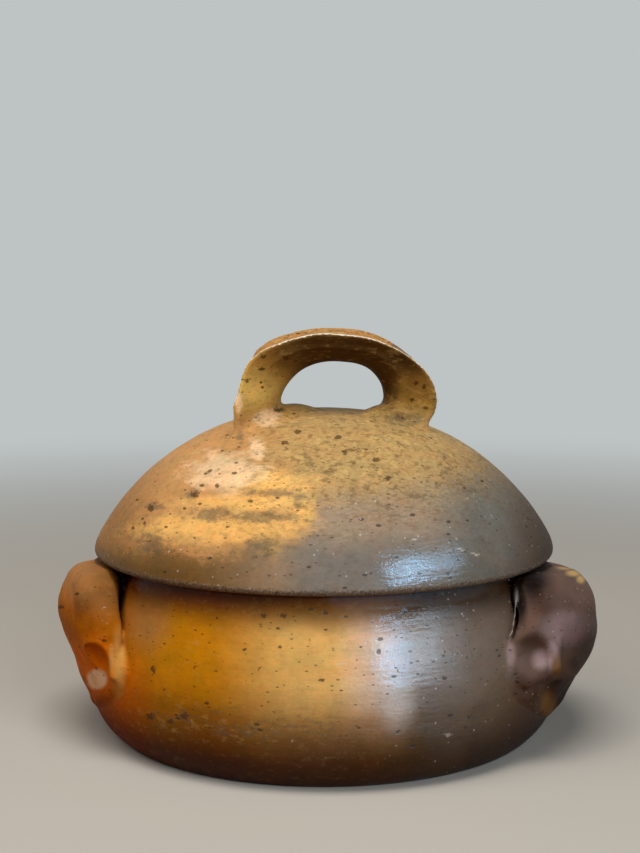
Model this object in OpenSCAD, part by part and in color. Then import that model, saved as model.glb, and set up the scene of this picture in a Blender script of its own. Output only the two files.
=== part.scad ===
// Stoneware casserole: a thrown bowl with two ear-shaped lugs, and a domed lid with a pulled strap handle.
// Millimetres. +Z is up, the base stands on Z = 0, the pot's axis is the Z axis and the lugs lie along X.

/* [Bowl] */
// Diameter of the flat base
base_d = 192; // [170:1:205]
// Diameter at the belly, the widest line of the wall
belly_d = 216; // [210:1:240]
// Height of the belly above the base
belly_z = 32; // [24:1:40]
// Outside diameter of the rim
rim_d = 195; // [180:1:205]
// Height of the rim, where the lid seats
rim_z = 82; // [76:1:100]
// Thickness of the wall
wall_t = 7; // [5:0.5:9]
// Thickness of the floor
floor_t = 9; // [6:0.5:14]
// Radius of the hollow between the floor and the wall
floor_fillet = 18; // [8:1:30]
// How full the wall is below the belly
foot_fullness = 3.7; // [2:0.1:5]
// How full the wall is above the belly
shoulder_fullness = 1.9; // [1.4:0.1:3]
// Radius on the two edges of the rim
rim_round = 2; // [0.5:0.25:2.25]

/* [Lugs] */
// How far the left lug stands out from the wall
left_reach = 18.6; // [12:0.1:24]
// Height of the left lug's lowest point
left_foot_z = 12; // [6:0.5:20]
// Share of the left lug's height at which it bulges most
left_bulge = 0.78; // [0.6:0.01:0.85]
// How far the ends of the left lug stand out from the wall
left_end_reach = 13; // [7:0.1:18]
// Turn of the left lug towards the front
left_turn = 5; // [-10:0.5:10]
// How far the right lug stands out from the wall
right_reach = 20; // [12:0.1:24]
// Height of the right lug's lowest point
right_foot_z = 7; // [6:0.5:20]
// Share of the right lug's height at which it bulges most
right_bulge = 0.66; // [0.6:0.01:0.85]
// How far the ends of the right lug stand out from the wall
right_end_reach = 8.5; // [7:0.1:18]
// Turn of the right lug towards the front
right_turn = 3.5; // [-10:0.5:10]
// Half of the angle that a lug covers on the wall
lug_half_angle = 37; // [25:1:50]
// Thickness of a lug
lug_t = 8.5; // [6:0.5:11]
// Gap between the top of a lug and the plane of the rim
lug_top_gap = 7.5; // [5.5:0.5:15]
// How much a lug's top leans down from its front end to its back end
lug_lean = 8; // [0:0.5:8]
// Height of a lug's lower edge at its ends
lug_end_z = 34; // [25:1:40]
// Radius of the prints that the potter's thumb left
thumb_r = 10; // [7:0.5:13]
// Depth of the thumb prints
thumb_depth = 2.6; // [0:0.1:3]

/* [Lid] */
// Diameter of the lid
lid_d = 212; // [206:1:240]
// Height of the dome above the lid's edge
dome_h = 62.5; // [40:0.5:90]
// Height of the edge, from its underside to the widest line
edge_h = 2.5; // [1.5:0.25:5]
// How far the underside of the edge draws in
edge_draw = 2.5; // [1:0.25:5]
// Thickness of the dome at its crown
crown_t = 8; // [5:0.5:12]
// Width of the flat seat on the lid's underside, from the edge to the hollow
seat_w = 20; // [12:0.5:30]
// Flatness of the dome's crown
crown_power = 2.4; // [2:0.1:3]
// Steepness of the dome near its edge
edge_power = 0.8; // [0.6:0.05:1]
// Depth of the flange that locates the lid in the bowl
flange_h = 12; // [6:1:20]
// Thickness of the flange
flange_t = 6; // [4:0.5:9]
// Play between the flange and the inside of the rim
flange_play = 1.2; // [0.5:0.1:3]

/* [Handle] */
// Width of the finger hole at the narrowest part of the handle
hole_w = 47.8; // [36:0.2:60]
// Height of the finger hole above the crown of the lid
hole_h = 22.5; // [16:0.5:34]
// How far the middle of the finger hole lies off the pot's axis
hole_shift = 3.5; // [-6:0.1:6]
// Width of the strap at its left foot
left_foot_w = 58; // [40:1:70]
// Width of the strap at its top
strap_w = 48; // [30:1:60]
// Width of the strap at its right foot
right_foot_w = 38; // [28:1:60]
// How much further back the right foot stands than the left one
foot_skew = 12; // [0:0.5:20]
// Thickness in the middle of the strap
strap_t = 8; // [5:0.5:11]
// Thickness at the edges of the strap
strap_edge_t = 3.2; // [2:0.1:5]
// How far the edges flare out at the top of the handle
top_flare = 10.5; // [4:0.5:16]
// How far the edges flare out at the left foot
left_flare = 18.5; // [8:0.5:26]
// How far the edges flare out at the right foot
right_flare = 22.5; // [8:0.5:26]
// Turn of the handle about the pot's axis
handle_turn = 4; // [-45:1:45]

/* [Hidden] */
$fn = 96;

base_r = base_d / 2;
belly_r = belly_d / 2;
rim_r = rim_d / 2;
lid_r = lid_d / 2;
edge_z = rim_z + edge_h;
crown_z = edge_z + dome_h;

// Fired clay colours
bowl_colour = "#8a6233";
lug_colour = "#96642f";
lid_colour = "#8d6a3c";
flange_colour = "#7a5a3a";
handle_colour = "#8f6d35";

// Radius of the outside of the bowl at height z
function wall_r(z) = z < belly_z
    ? belly_r - (belly_r - base_r) * pow(1 - z / belly_z, foot_fullness)
    : belly_r - (belly_r - rim_r) * pow((z - belly_z) / (rim_z - belly_z), shoulder_fullness);

// Height at radius r of a dome of radius edge_r whose share of its full height is set by two powers
function dome(r, edge_r, h, flat, steep) = h * pow(max(0, 1 - pow(r / edge_r, flat)), steep);

// Points of the outside of the lid, from its crown to its edge, and of its hollow, from its edge to its crown
dome_steps = 24;
function dome_r(i, edge_r) = edge_r * sin(90 * i / dome_steps);
function dome_line() = [for (i = [0:dome_steps]) let (r = dome_r(i, lid_r))
    [r, edge_z + dome(r, lid_r, dome_h, crown_power, edge_power)]];
function hollow_line() = [for (i = [dome_steps:-1:0]) let (r = dome_r(i, hollow_r)) [r, underside(r)]];

// Height of the underside of the lid at radius r
function underside(r) =
    rim_z + dome(r, hollow_r, crown_z - crown_t - rim_z, hollow_crown_power, hollow_edge_power);

// Points of an arc about c, from angle a0 to a1
function arc(c, r, a0, a1, n = 6) =
    [for (i = [0:n]) let (a = a0 + (a1 - a0) * i / n) c + r * [cos(a), sin(a)]];

// Outside of the bowl, from the base up to the start of the rim's rounding
wall_steps = 18;
wall_top = rim_z - rim_round;
function wall_line() =
    [for (i = [0:wall_steps]) let (z = wall_top * pow(i / wall_steps, 1.25)) [wall_r(z), z]];

// Inside of the bowl: its top edge, its wall and the hollow that leads to the floor
rim_in_r = wall_r(wall_top) - wall_t;
hollow_z = floor_t + floor_fillet;
hollow_c = [wall_r(hollow_z) - wall_t - floor_fillet, hollow_z];

module bowl() {
    rim_out = arc([wall_r(wall_top) - rim_round, wall_top], rim_round, 0, 90);
    rim_in = arc([rim_in_r + rim_round, wall_top], rim_round, 90, 180);
    inside = [for (i = [1:wall_steps])
        let (z = wall_top + (hollow_z - wall_top) * i / wall_steps) [wall_r(z) - wall_t, z]];
    hollow = arc(hollow_c, floor_fillet, 0, -90);
    color(bowl_colour) rotate_extrude()
        polygon(concat([[0, 0]], wall_line(), rim_out, rim_in, inside, hollow, [[0, floor_t]]));
}

// Closes a row of rings of points into one skin of triangles with a flat cap at each end
function skin_faces(rings, n) = concat(
    [for (i = [0:rings - 2], j = [0:n - 1], k = [0, 1])
        let (a = i * n + j, b = i * n + (j + 1) % n)
        k == 0 ? [a, b, b + n] : [a, b + n, a + n]],
    [for (j = [1:n - 2]) [0, j + 1, j]],
    [for (j = [1:n - 2]) let (o = (rings - 1) * n) [o, o + j, o + j + 1]]);

// One lug. Its section at each angle is a leaf that lies on the wall at its foot, bulges outwards, curls in
// again and ends in a round lip. side is 1 for the lug on +X and -1 for the lug on -X.
lug_rings = 37;
lug_rows = 13;
lip_steps = 4;
lug_seat = 0.1;
lug_rim_t = 1.2;
lug_end_angle = 4;
lug_end_share = 0.35;
thin_end = 0.28;
thin_top = 0.25;
bulge_power = 1.2;
top_curl = 0.62;
end_slant = 0.17;
lug_corner = 0.8;
top_corner = 5;
low_corner = 7;
low_power = 1.5;
end_print = 0.8;
foot_print = -0.25;

// Dent of the thumb at angle a and height z: one print at each end and one at the foot
function thumb_dent(a, z, foot_z) =
    let (
        end_z = foot_z + end_print * (lug_end_z - foot_z) + thumb_r,
        ends = [for (e = [-1, 1]) [e * end_print * lug_half_angle, end_z]],
        prints = concat(ends, [[foot_print * lug_half_angle, foot_z + thumb_r]]),
        away = [for (p = prints) norm([(a - p[0]) * PI / 180 * belly_r, z - p[1]]) / thumb_r]
    )
    thumb_depth * max([for (d = away) d < 1 ? pow(1 - d * d, 1.5) : 0]);

module lug(side, turn, reach, foot_z, bulge, end_reach) {
    rings = [for (i = [0:lug_rings - 1])
        let (
            a = side * lug_half_angle * (2 * i / (lug_rings - 1) - 1),
            share = abs(a) / lug_half_angle,
            corner = 1 - sqrt(1 - pow(max(0, (share - lug_corner) / (1 - lug_corner)), 2)),
            top_z = rim_z - lug_top_gap - lug_lean * (a / lug_half_angle) / 2 - top_corner * corner,
            low = foot_z + (lug_end_z - foot_z) * pow(share, low_power) + low_corner * corner,
            out = reach + (end_reach - reach) * pow(share, 2),
            past = max(0, (abs(a) - lug_half_angle + lug_end_angle) / lug_end_angle),
            open = lug_end_share + (1 - lug_end_share) * sqrt(1 - pow(past, 2)),
            up = function (z) (z - low) / (top_z - low),
            t = function (z) lug_t * (1 - thin_end * pow(share, 2)) * (1 - thin_top * pow(up(z), 2)),
            swell = function (v) v < bulge ? pow(sin(90 * v / bulge), bulge_power)
                : sqrt(1 - top_curl * pow((v - bulge) / (1 - bulge), 2)),
            full = function (z) lug_rim_t + (out - lug_rim_t) * swell(up(z)),
            far = function (z) max(lug_rim_t, full(z) - thumb_dent(a, z, foot_z)),
            near = function (z) max(lug_seat, full(z) - t(z)),
            outer = function (z) near(z) + (far(z) - near(z)) * open,
            lip = t(top_z) / 2 * open,
            high = top_z - lip,
            lip_c = (outer(high) + near(high)) / 2,
            half = (outer(high) - near(high)) / 2,
            leaf = concat(
                [for (k = [0:lug_rows]) let (z = low + (high - low) * k / lug_rows) [wall_r(z) + outer(z), z]],
                [for (k = [1:lip_steps - 1]) let (u = 180 * k / lip_steps)
                    [wall_r(high) + lip_c + half * cos(u), high + lip * sin(u)]],
                [for (k = [lug_rows:-1:0]) let (z = low + (high - low) * k / lug_rows) [wall_r(z) + near(z), z]])
        )
        [for (p = leaf) let (b = a * (1 - end_slant * up(p[1])) - turn)
            [side * p[0] * cos(b), p[0] * sin(b), p[1]]]];
    n = len(rings[0]);
    polyhedron([for (ring = rings) for (p = ring) p], skin_faces(lug_rings, n));
}

module left_lug() {
    color(lug_colour) lug(-1, left_turn, left_reach, left_foot_z, left_bulge, left_end_reach);
}

module right_lug() {
    color(lug_colour) lug(1, right_turn, right_reach, right_foot_z, right_bulge, right_end_reach);
}

// Lid: dome, with a flat underside at its edge that seats on the rim
flange_r = rim_in_r - flange_play;
flange_in_r = flange_r - flange_t;
hollow_r = lid_r - edge_draw - seat_w;
hollow_crown_power = 2.9;
hollow_edge_power = 0.62;

module lid_section() {
    edge = [for (a = [30:30:90]) [lid_r - edge_draw * (1 - cos(a)), edge_z - edge_h * sin(a)]];
    polygon(concat(dome_line(), edge, hollow_line()));
}

module lid_dome() {
    color(lid_colour) rotate_extrude() lid_section();
}

// The lid as a solid block, which the handle's feet are cut to
module lid_block() {
    rotate_extrude() polygon(concat(dome_line(), [[0, edge_z]]));
}

// The flange hangs below the rim and reaches up to the underside of the lid
module lid_flange() {
    foot = flange_t / 2;
    low = rim_z - flange_h;
    top = underside(flange_in_r) - low;
    color(flange_colour) rotate_extrude() difference() {
        translate([flange_in_r, low])
            polygon(concat(arc([foot, foot], foot, 180, 360), [[flange_t, top], [0, top]]));
        lid_section();
    }
}

// Handle: a strap that arches over the finger hole. Its edges flare outwards, so its outside is a shallow channel.
arch_rings = 37;
foot_rings = 2;
strap_cols = 10;
foot_sink = 17;
left_tuck = 3;
right_tuck = 7;
left_roundness = 2;
right_roundness = 2.8;
flare_power = 2;

module lid_handle() {
    count = arch_rings + 2 * foot_rings;
    half = hole_w / 2;
    arch = function (u) let (c = cos(u), s = sin(u), k = c < 0 ? left_roundness : right_roundness)
        [hole_shift + half * sign(c) * pow(abs(c), 2 / k), crown_z + hole_h * pow(abs(s), 2 / k)];
    foot = function (below, side) let (d = below / foot_rings, tuck = side < 0 ? left_tuck : right_tuck)
        [hole_shift + side * (half - tuck * d * d), crown_z - foot_sink * d];
    strap = function (i) i < foot_rings ? foot(foot_rings - i, -1)
        : i >= foot_rings + arch_rings ? foot(i - foot_rings - arch_rings + 1, 1)
        : arch(180 - 180 * (i - foot_rings) / (arch_rings - 1));
    normal = function (i) let (d = strap(min(i + 1, count - 1)) - strap(max(i - 1, 0))) [-d[1], d[0]] / norm(d);
    rings = [for (i = [0:count - 1])
        let (
            s = i / (count - 1),
            foot_w = s < 0.5 ? left_foot_w : right_foot_w,
            foot_flare = s < 0.5 ? left_flare : right_flare,
            w = foot_w + (strap_w - foot_w) * sin(180 * s),
            flare = foot_flare + (top_flare - foot_flare) * sin(180 * s),
            p = strap(i),
            n = normal(i),
            depth = function (q) flare * pow(abs(q), flare_power),
            thick = function (q) strap_edge_t + (strap_t - strap_edge_t) * (1 - pow(q, 2)),
            at = function (q, d) [p[0] + n[0] * d, foot_skew * (s - 0.5) + w / 2 * q, p[1] + n[1] * d]
        )
        concat(
            [for (k = [0:strap_cols]) let (q = 1 - 2 * k / strap_cols) at(q, depth(q))],
            [for (k = [strap_cols:-1:0]) let (q = 1 - 2 * k / strap_cols) at(q, depth(q) + thick(q))])];
    n = len(rings[0]);
    color(handle_colour) difference() {
        rotate([0, 0, handle_turn])
            polyhedron([for (ring = rings) for (p = ring) p], skin_faces(count, n));
        lid_block();
    }
}

bowl();
left_lug();
right_lug();
lid_dome();
lid_flange();
lid_handle();
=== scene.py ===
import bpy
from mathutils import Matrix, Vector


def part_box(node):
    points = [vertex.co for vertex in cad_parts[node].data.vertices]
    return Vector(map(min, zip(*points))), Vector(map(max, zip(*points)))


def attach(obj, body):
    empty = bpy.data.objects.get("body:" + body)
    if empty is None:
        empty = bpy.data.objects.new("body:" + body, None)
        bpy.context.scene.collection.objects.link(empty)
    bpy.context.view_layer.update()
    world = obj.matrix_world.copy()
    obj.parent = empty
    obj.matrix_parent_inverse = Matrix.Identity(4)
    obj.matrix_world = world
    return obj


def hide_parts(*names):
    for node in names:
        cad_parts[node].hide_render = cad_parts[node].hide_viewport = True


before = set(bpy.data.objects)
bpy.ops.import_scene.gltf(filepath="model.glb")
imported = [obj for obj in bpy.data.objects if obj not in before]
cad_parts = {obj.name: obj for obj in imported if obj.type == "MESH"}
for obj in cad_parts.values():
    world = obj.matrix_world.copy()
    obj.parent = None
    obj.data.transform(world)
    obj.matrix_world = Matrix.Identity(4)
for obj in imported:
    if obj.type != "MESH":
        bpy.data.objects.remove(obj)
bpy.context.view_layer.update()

import math

import bpy
import numpy as np
import openvdb as vdb

# Shapes and paint are in millimetres, in the frame of the CAD model. The meshes are in metres.
MM = 0.001

# Photograph and camera: pixels, millimetres and degrees
PHOTO_SIZE = (640, 853)
FOCAL_PX = 1600
SENSOR = 36
CAMERA_BACK = 736
CAMERA_HEIGHT = 223
CAMERA_SIDE = -1.8
CAMERA_TILT = 6.5
CAMERA_TURN = 4

# Meshes
SEGMENTS = 480
FINE_STEP = 0.9
VOXEL = 0.55
BAND = 9.0
TINY = 1e-6
LATTICE = (64, 64, 64)
LATTICE_MIDDLE = 512

# Clay
BURIED = 0.12
SKIN = 1.6
SPREAD = 6.5
CORNER = 33
SOFTEN = 0.8
BEND_SIZE = 0.9

turn = math.radians(CAMERA_TURN)
tilt = math.radians(CAMERA_TILT)
UP = np.array([0.0, 0.0, 1.0])
AHEAD = np.array([-math.sin(turn), math.cos(turn), 0.0])
RIGHT = np.array([math.cos(turn), math.sin(turn), 0.0])
LOOK = math.cos(tilt) * AHEAD - math.sin(tilt) * UP
LIFT = math.sin(tilt) * AHEAD + math.cos(tilt) * UP
EYE = CAMERA_SIDE * RIGHT - CAMERA_BACK * AHEAD + CAMERA_HEIGHT * UP


# Reading the frame

def node_mesh(name):
    """Points of a CAD node in millimetres, with doubles merged, and its triangles."""
    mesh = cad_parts[name].data
    points = np.empty(len(mesh.vertices) * 3)
    mesh.vertices.foreach_get("co", points)
    mesh.calc_loop_triangles()
    corners = np.empty(len(mesh.loop_triangles) * 3, np.int32)
    mesh.loop_triangles.foreach_get("vertices", corners)
    merged, index = np.unique(np.round(points.reshape(-1, 3) / MM, 3), axis=0, return_inverse=True)
    return merged, index.reshape(-1)[corners].reshape(-1, 3)


def outline(name):
    """Points (radius, height) of a turned node, in the order of its circles."""
    points, triangles = node_mesh(name)
    flat = np.round(np.column_stack([np.hypot(points[:, 0], points[:, 1]), points[:, 2]]), 2)
    spots, index = np.unique(flat, axis=0, return_inverse=True)
    corners = index.reshape(-1)[triangles]
    pairs = np.concatenate([corners[:, [0, 1]], corners[:, [1, 2]], corners[:, [2, 0]]])
    beside = {i: set() for i in range(len(spots))}
    for a, b in pairs[pairs[:, 0] != pairs[:, 1]]:
        beside[a].add(b)
        beside[b].add(a)
    ends = sorted((i for i in beside if len(beside[i]) == 1), key=lambda i: spots[i][1])
    walk = [ends[0] if ends else 0]
    while True:
        onward = sorted(beside[walk[-1]] - set(walk))
        if not onward:
            break
        walk.append(onward[0])
    line = [list(spots[i]) for i in walk]
    if ends:
        line = [[0.0, line[0][1]]] * (line[0][0] > 0) + line
        line = line + [[0.0, line[-1][1]]] * (line[-1][0] > 0)
    return np.array(line)


# Lines

def lengths(line):
    """How far along a line each of its points lies."""
    return np.concatenate([[0], np.cumsum(np.linalg.norm(np.diff(line, axis=0), axis=1))])


def read_along(at, along, line):
    """Points of a line at some distances along it."""
    return np.column_stack([np.interp(at, along, line[:, k]) for k in range(2)])


def curve_through(points, step):
    """A smooth curve through a line of points, as points a step apart."""
    along = lengths(points)
    count = max(2, int(math.ceil(along[-1] / step)) + 1)
    at = np.linspace(0, along[-1], count)
    if len(points) < 3:
        return read_along(at, along, points)
    slope = np.gradient(points, along, axis=0)
    i = np.clip(np.searchsorted(along, at, side="right") - 1, 0, len(points) - 2)
    gap = (along[i + 1] - along[i])[:, None]
    u = (at - along[i])[:, None] / gap
    start = (1 + 2 * u) * (1 - u) ** 2 * points[i] + u * (1 - u) ** 2 * gap * slope[i]
    return start + u * u * (3 - 2 * u) * points[i + 1] + u * u * (u - 1) * gap * slope[i + 1]


def smooth_line(points, step):
    """A line curved between its softened corners, as points about a step apart."""
    heading = np.degrees(np.unwrap(np.arctan2(*np.diff(points, axis=0).T[::-1])))
    turns = np.abs(np.diff(heading))
    cuts = [0] + [i + 1 for i, t in enumerate(turns) if t > CORNER] + [len(points) - 1]
    fine = SOFTEN / 4
    runs = [curve_through(points[a:b + 1], fine) for a, b in zip(cuts, cuts[1:])]
    line = np.concatenate([runs[0]] + [run[1:] for run in runs[1:]])
    reach = int(3 * SOFTEN / fine)
    weight = np.exp(-0.5 * (np.arange(-reach, reach + 1) * fine / SOFTEN) ** 2)
    padded = np.pad(line, ((reach, reach), (0, 0)), mode="reflect", reflect_type="odd")
    line = np.column_stack([np.convolve(padded[:, k], weight / weight.sum(), mode="valid") for k in range(2)])
    along = lengths(line)
    line = read_along(np.linspace(0, along[-1], int(along[-1] / step) + 1), along, line)
    line[0, 0] = max(line[0, 0], 0)
    line[-1, 0] = max(line[-1, 0], 0)
    return line


# Distance fields

def field_of(name):
    """Signed distance to a CAD node on a box of voxels: its first voxel, its values and where they are."""
    points, triangles = node_mesh(name)
    grid = vdb.FloatGrid.createLevelSetFromPolygons(
        points.astype(np.float32), triangles=triangles.astype(np.uint32),
        transform=vdb.createLinearTransform(voxelSize=VOXEL), halfWidth=BAND / VOXEL)
    low = np.floor((points.min(0) - BAND) / VOXEL).astype(int)
    high = np.ceil((points.max(0) + BAND) / VOXEL).astype(int)
    values = np.empty(high - low + 1, np.float32)
    grid.copyToArray(values, ijk=tuple(int(v) for v in low))
    axes = [np.arange(low[k], high[k] + 1) * VOXEL for k in range(3)]
    return low, values, np.meshgrid(*axes, indexing="ij", sparse=True)


def blurred(values, size):
    """A field smoothed over a size in millimetres."""
    sigma = size / VOXEL
    reach = int(math.ceil(2.5 * sigma))
    weights = np.exp(-0.5 * (np.arange(-reach, reach + 1) / sigma) ** 2)
    weights /= weights.sum()
    for axis in range(3):
        padded = np.pad(values, [(reach, reach) if k == axis else (0, 0) for k in range(3)], mode="edge")
        count = values.shape[axis]
        parts = [w * np.take(padded, np.arange(i, i + count), axis=axis) for i, w in enumerate(weights)]
        values = sum(parts[1:], parts[0]).astype(np.float32)
    return values


def join(a, b, fillet):
    """Union of two distance fields with a fillet between them."""
    h = np.clip(0.5 + 0.5 * (b - a) / fillet, 0, 1)
    return b + (a - b) * h - fillet * h * (1 - h)


def carve(a, b, round_edge):
    """What is left of one distance field when another is cut from it."""
    return -join(-a, b, round_edge)


def lump(spots, centre, size):
    """Rough distance to an ellipsoid that lies along the axes."""
    scaled = np.sqrt(sum(((spots[k] - centre[k]) / size[k]) ** 2 for k in range(3)))
    return (scaled - 1) * min(size)


def pad(spots, centre, facing, radius, thick):
    """Rough distance to a flat ellipsoid that faces a direction."""
    facing = np.array(facing) / np.linalg.norm(facing)
    rest = [spots[k] - centre[k] for k in range(3)]
    depth = sum(rest[k] * facing[k] for k in range(3))
    across = np.sqrt(np.maximum(sum(rest[k] ** 2 for k in range(3)) - depth ** 2, 0))
    return (np.sqrt((across / radius) ** 2 + (depth / thick) ** 2) - 1) * thick


def dish(spots, centre, facing, radius, depth):
    """Distance to the ball that presses a dish of a radius and a depth into a surface."""
    facing = np.array(facing) / np.linalg.norm(facing)
    ball = (radius ** 2 + depth ** 2) / (2 * depth)
    middle = np.array(centre) + facing * (ball - depth)
    return np.sqrt(sum((spots[k] - middle[k]) ** 2 for k in range(3))) - ball


def roll(spots, start, end, radius):
    """Distance to a thin roll of clay between two points."""
    start, end = np.array(start, float), np.array(end, float)
    axis = end - start
    rest = [spots[k] - start[k] for k in range(3)]
    u = np.clip(sum(rest[k] * axis[k] for k in range(3)) / axis.dot(axis), 0, 1)
    return np.sqrt(sum((rest[k] - u * axis[k]) ** 2 for k in range(3))) - radius


def bearing_of(x, y):
    """Degrees from the front, to either side."""
    return np.degrees(np.arctan2(np.abs(x), -y))


def curled_lip(spots, radius, bearings, heights, half_size):
    """Rough distance to a roll of clay that follows the wall from one bearing to another."""
    x, y, z = spots
    bearing = bearing_of(x, y)
    height = np.interp(bearing, bearings, heights)
    across = (np.hypot(x, y) - radius) / half_size[0]
    section = (np.sqrt(across ** 2 + ((z - height) / half_size[1]) ** 2) - 1) * half_size[1]
    middle, reach = (bearings[0] + bearings[-1]) / 2, np.ptp(bearings) / 2
    ends = (np.abs(bearing - middle) - reach) * math.radians(radius)
    return np.maximum(section, ends).astype(np.float32)


def roll_along(spots, line, radius):
    """Distance to a thin roll of clay along a line of points."""
    parts = [roll(spots, start, end, radius) for start, end in zip(line, line[1:])]
    return np.minimum.reduce(parts)


def between(total, values, cell, part):
    """Adds the values between the eight cells round each place to a total."""
    for corner in np.ndindex(2, 2, 2):
        near = [abs(1 - corner[k] - part[k]) for k in range(3)]
        place = tuple((cell[k] + corner[k]) % values.shape[k] for k in range(3))
        total += near[0] * near[1] * near[2] * values[place]
    return total


def uneven(spots, period, seed):
    """Smooth random numbers, about -1 to 1, that vary over a period in millimetres."""
    shape = np.broadcast_shapes(*[np.shape(s) for s in spots])
    lattice = np.random.default_rng(seed).uniform(-1, 1, LATTICE).astype(np.float32)
    cell, part = [], []
    for s in spots:
        at = np.asarray(s) / period + LATTICE_MIDDLE
        cell.append(np.floor(at).astype(int))
        part.append((at - cell[-1]) ** 2 * (3 - 2 * (at - cell[-1])))
    return between(np.zeros(shape, np.float32), lattice, cell, part)


def value_at(values, low, points):
    """Values of a field at points, between its voxels."""
    at = points / VOXEL - low
    cell = np.clip(np.floor(at).astype(int), 0, np.array(values.shape) - 2)
    return between(np.zeros(len(points)), values, cell.T, (at - cell).T)


# Turned surfaces

bowl_line = outline("bowl")
dome_line = outline("lid_dome")
flange_line = outline("lid_flange")
rim_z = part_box("bowl")[1].z / MM
crown_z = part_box("lid_dome")[1].z / MM
lid_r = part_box("lid_dome")[1].x / MM
edge_z = dome_line[np.argmax(dome_line[:, 0]), 1]

smooth_bowl = smooth_line(bowl_line, FINE_STEP)
smooth_dome = smooth_line(dome_line, FINE_STEP)
bowl_top = int(np.argmax(smooth_bowl[:, 1]))
dome_edge = int(np.argmax(smooth_dome[:, 0]))
wall_line = smooth_bowl[:bowl_top + 1]
wall_line = wall_line[wall_line[:, 1] > 0.2]
cap_line = smooth_dome[dome_edge:][::-1]


# Throwing rings: height, radians per millimetre, how far they wander and where. Waves: height, number, turn.
WALL_RINGS = ((0.03, 0.62, 0.8, 1), (0.05, 0.21, 2, 0))
WALL_WAVES = ((0.35, 2, 0.6), (0.16, 3, -1.1))
CAP_RINGS = ((0.03, 0.55, 0.7, 0), (0.06, 0.19, 1.5, 2))
CAP_WAVES = ((0.3, 2, -0.4), (0.18, 3, 0.9))


def rings(angle, along, rows):
    """Height of the rings that the potter's fingers leave."""
    return sum(high * np.sin(along * pitch + far * np.sin(angle + at)) for high, pitch, far, at in rows)


def waves(angle, rows):
    """Height of the slow waves round a pot that isn't quite round."""
    return sum(high * np.cos(number * angle + at) for high, number, at in rows)


def wall_shift(angle, z):
    """How far the outside of the bowl stands off a true turned shape."""
    return rings(angle, z, WALL_RINGS) + waves(angle, WALL_WAVES)


def cap_shift(angle, r):
    """How far the outside of the lid stands off a true turned shape."""
    return rings(angle, r, CAP_RINGS) + (r / lid_r) ** 2 * waves(angle, CAP_WAVES)


def wall_distance(spots):
    """Distance to the outside of the bowl, negative in its clay."""
    x, y, z = spots
    radius = np.interp(z, wall_line[:, 1], wall_line[:, 0])
    lean = np.gradient(wall_line[:, 0], wall_line[:, 1])
    across = 1 / np.sqrt(1 + np.interp(z, wall_line[:, 1], lean) ** 2)
    return ((np.hypot(x, y) - radius - wall_shift(np.arctan2(y, x), z)) * across).astype(np.float32)


def cap_distance(spots):
    """Distance to the outside of the lid, negative in its clay."""
    x, y, z = spots
    r = np.hypot(x, y)
    height = np.interp(r, cap_line[:, 0], cap_line[:, 1])
    steps = np.maximum.accumulate(cap_line[:, 0] + np.arange(len(cap_line)) * TINY)
    fall = np.gradient(cap_line[:, 1], steps)
    across = 1 / np.sqrt(1 + np.interp(r, cap_line[:, 0], fall) ** 2)
    return ((z - height) * across - cap_shift(np.arctan2(y, x), r)).astype(np.float32)


def turned(line, shift, loop=False):
    """Points and faces of a line of (radius, height) points turned about the Z axis. shift moves them out."""
    angle = np.linspace(0, 2 * math.pi, SEGMENTS, endpoint=False)
    heading = np.gradient(line, axis=0)
    heading /= np.linalg.norm(heading, axis=1)[:, None]
    rows, points, faces = [], [], []
    for i, (r, z) in enumerate(line):
        if r < TINY:
            rows.append(np.full(SEGMENTS, len(points)))
            points.append([0, 0, z])
            continue
        off = shift(angle, r, z, i)
        radius = r + heading[i, 1] * off
        height = z - heading[i, 0] * off
        rows.append(len(points) + np.arange(SEGMENTS))
        points.extend(np.column_stack([radius * np.cos(angle), radius * np.sin(angle), height]).tolist())
    last = len(rows) if loop else len(rows) - 1
    for i in range(last):
        a, b = rows[i], rows[(i + 1) % len(rows)]
        a_next, b_next = np.roll(a, -1), np.roll(b, -1)
        if a[0] == a[1]:
            faces.extend(np.column_stack([a, b_next, b]).tolist())
        elif b[0] == b[1]:
            faces.extend(np.column_stack([a, a_next, b]).tolist())
        else:
            faces.extend(np.column_stack([a, a_next, b_next, b]).tolist())
    return np.array(points), faces


def thinned(line, keep):
    """A line with only every third of the points that keep does not ask for."""
    chosen = [i for i in range(len(line)) if keep[i] or i % 3 == 0 or i in (0, len(line) - 1)]
    return line[chosen]


def solid(values, low):
    """Points and faces of the zero surface of a distance field."""
    grid = vdb.FloatGrid(BAND)
    grid.transform = vdb.createLinearTransform(voxelSize=VOXEL)
    grid.copyFromArray(np.ascontiguousarray(values, np.float32), ijk=tuple(int(v) for v in low))
    points, quads = grid.convertToQuads(isovalue=0.0)
    points, quads = points.astype(float), quads.astype(int)
    a, b, c = points[quads[:, 0]], points[quads[:, 1]], points[quads[:, 2]]
    if (a * np.cross(b, c)).sum() < 0:
        quads = quads[:, ::-1]
    return points, quads.tolist()


# Pieces

# Middle of the hole in the handle, along X
HOLE_MIDDLE = 3.5


def make_bowl():
    line = smooth_bowl
    inside = np.arange(len(line)) > bowl_top
    line = thinned(line, ~inside & (line[:, 1] > 0.1) | (np.abs(line[:, 1] - rim_z) < 4))
    top = int(np.argmax(line[:, 1]))

    def shift(angle, r, z, i):
        outer = np.clip(z / 3, 0, 1) * np.clip((rim_z - z) / 4, 0, 1) * (i < top)
        return outer * wall_shift(angle, z)

    points, faces = turned(line, shift)
    r = np.hypot(points[:, 0], points[:, 1])
    inner = r < np.interp(points[:, 2], wall_line[:, 1], wall_line[:, 0]) - 2
    inner &= points[:, 2] > 2
    return points, faces, plain(paint_bowl(points), inner, LINER, 0.0)


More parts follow.
